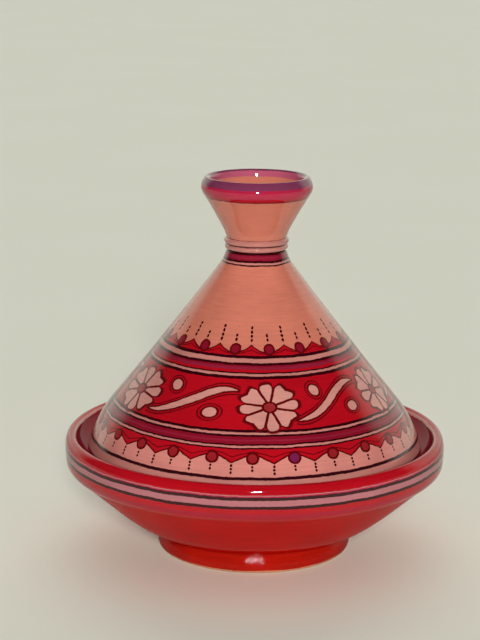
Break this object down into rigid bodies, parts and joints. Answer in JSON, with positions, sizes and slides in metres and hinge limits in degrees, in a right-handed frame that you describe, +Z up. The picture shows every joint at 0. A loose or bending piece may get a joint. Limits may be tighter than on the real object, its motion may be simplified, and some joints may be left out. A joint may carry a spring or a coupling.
{
  "type": "tagine pot",
  "caption": "Glazed earthenware tagine: a shallow footed dish with an upright rim, and a tall hollow conical lid with a cup-shaped knob that lifts straight off.",
  "frame": {"origin": "centre of the foot ring's underside, on the surface that the pot stands on", "axes": "+Z up along the axis that every piece was turned on; -Y is the front, the side that faces the viewer in the picture; the pot is closed at rest"},
  "size_m": [0.3, 0.3, 0.2966],
  "materials": {
    "red_glaze": "high gloss",
    "painted_salmon_glaze": "high gloss over painted bands",
    "pale_collar_glaze": "high gloss"
  },
  "bodies": {
    "dish": {"dish_foot_ring": "red_glaze", "dish_bowl": "red_glaze"},
    "lid": {"lid_cone": "painted_salmon_glaze", "lid_collar": "pale_collar_glaze", "lid_knob": "painted_salmon_glaze"}
  },
  "joints": [
    {"name": "lid_lift", "type": "slide", "parent": "dish", "child": "lid", "axis": [0, 0, 1], "range_m": [0, 0.12]}
  ]
}
